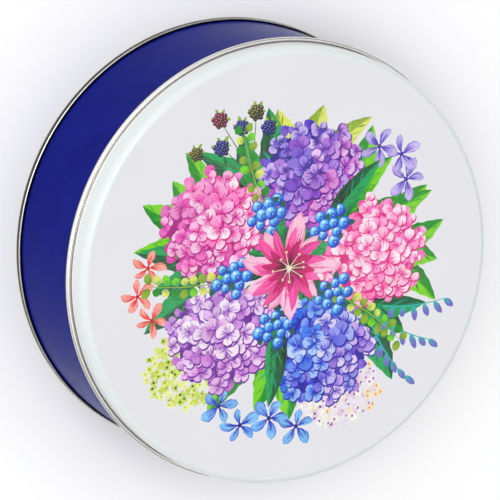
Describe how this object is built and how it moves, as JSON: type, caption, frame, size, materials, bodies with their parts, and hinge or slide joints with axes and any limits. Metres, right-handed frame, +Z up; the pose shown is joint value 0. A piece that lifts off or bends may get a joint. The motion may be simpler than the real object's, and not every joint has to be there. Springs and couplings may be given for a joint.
{
  "type": "round slip-lid cookie tin",
  "caption": "Round drawn-and-seamed tin with a recessed seamed-on base, a folded side seam, a rolled rim and a lift-off slip lid with a printed face.",
  "frame": {"origin": "centre of the foot, on the surface the tin stands on", "axes": "+Z up along the tin's axis; +Y is the up direction of the lid's picture and +X its right; the side wall's folded seam is at +X"},
  "size_m": [0.21, 0.21, 0.076],
  "materials": {
    "lid_enamel": "satin-gloss white enamel under a varnished flower print",
    "wall_lacquer": "satin-gloss deep blue lacquer",
    "bare_tinplate": "bright unlacquered tinplate",
    "sealing_compound": "matt dried compound"
  },
  "bodies": {
    "tin": {"side_wall": "wall_lacquer", "base": "bare_tinplate", "seam_compound": "sealing_compound"},
    "lid": {"lid": "lid_enamel"}
  },
  "joints": [
    {"name": "lid_lift", "type": "slide", "parent": "tin", "child": "lid", "axis": [0, 0, 1], "range_m": [0, 0.12]}
  ]
}
